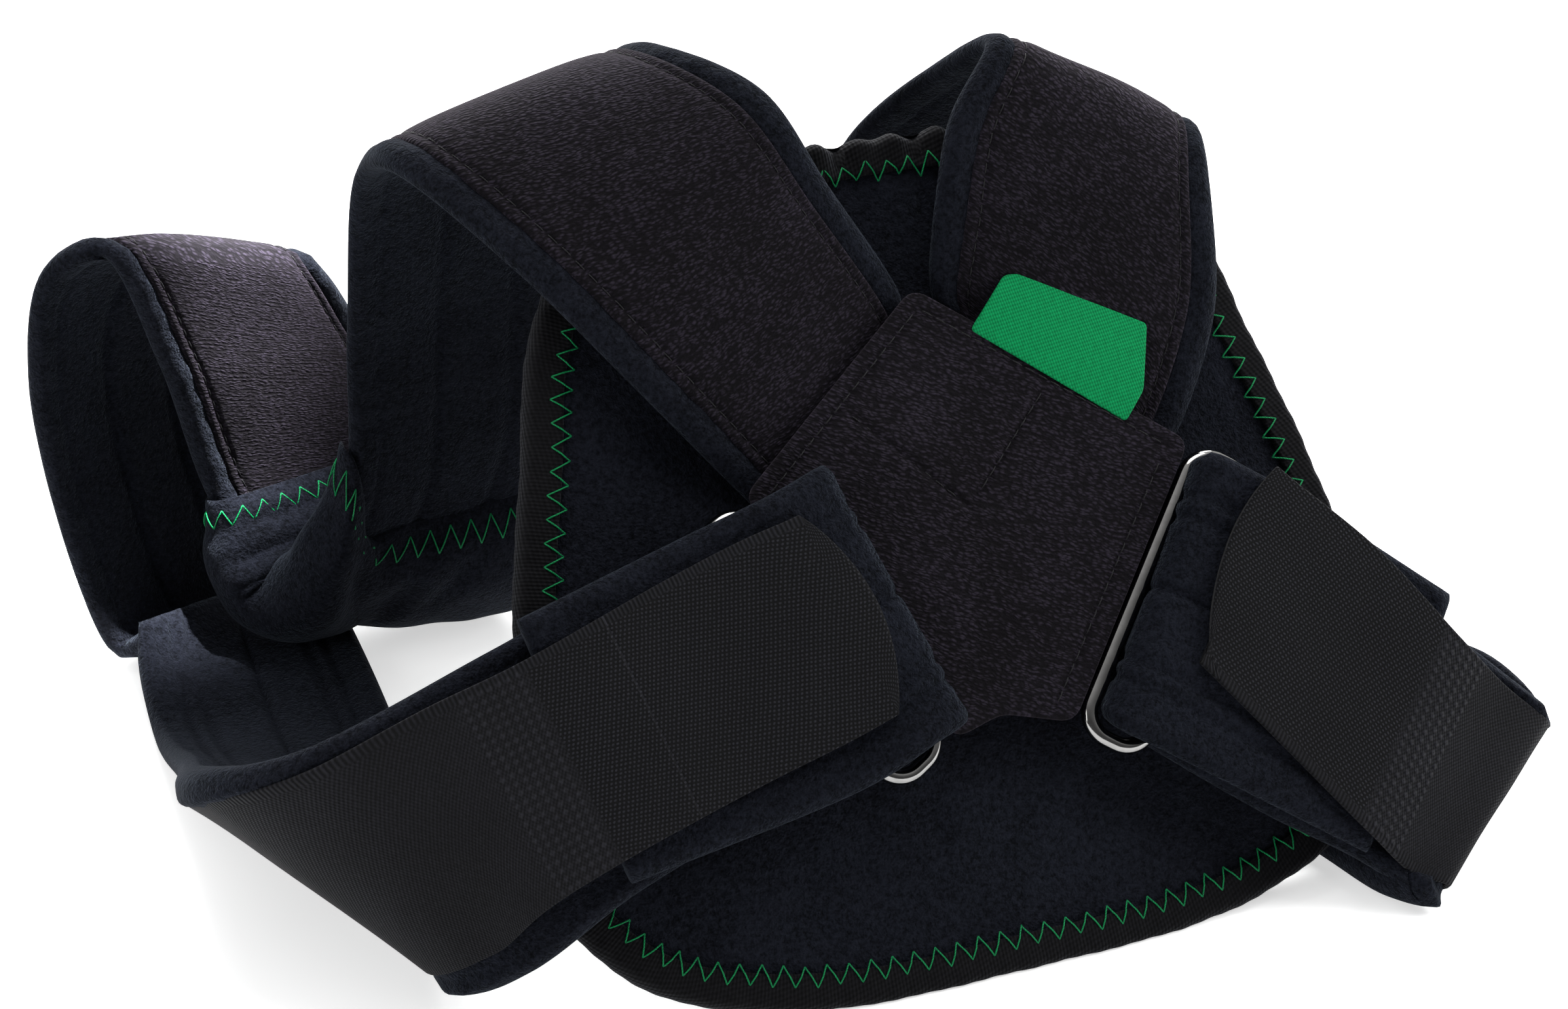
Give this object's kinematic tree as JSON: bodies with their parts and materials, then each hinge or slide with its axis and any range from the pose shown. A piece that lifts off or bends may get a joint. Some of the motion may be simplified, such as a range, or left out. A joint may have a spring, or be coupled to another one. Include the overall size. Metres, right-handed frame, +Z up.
{
  "type": "clavicle brace",
  "caption": "Padded shoulder brace for the collar bone: back pad with woven cross panel, looped shoulder straps, armpit pads, wire rings and hook tape ends, lying on a surface.",
  "frame": {"origin": "middle of the part's box at the surface that it lies on", "axes": "+Z up from the surface, the back pad faces -Y, +X to the right in that view"},
  "size_m": [0.3398, 0.2094, 0.1704],
  "materials": {
    "velour": "brushed navy velour, near black",
    "jersey": "fine black jersey",
    "panel_weave": "ribbed black weave",
    "cover_cloth": "fine ribbed brown-black cloth",
    "hook_tape": "dark grey twill tape with a dull shine",
    "green_tab": "satin woven green",
    "ring_metal": "dark nickel plate"
  },
  "bodies": {
    "root": {"back_pad": "velour", "back_pad_binding": "jersey", "centre_panel": "panel_weave", "left_ring": "ring_metal", "right_ring": "ring_metal", "left_shoulder_strap": "velour", "right_shoulder_strap": "velour", "left_shoulder_cover": "cover_cloth", "right_shoulder_cover": "cover_cloth", "left_end_strap": "velour", "right_end_strap": "velour", "left_hook_strip": "hook_tape", "right_hook_strip": "hook_tape", "left_armpit_pad": "velour", "right_armpit_pad": "velour", "label_tab": "green_tab"}
  },
  "joints": []
}
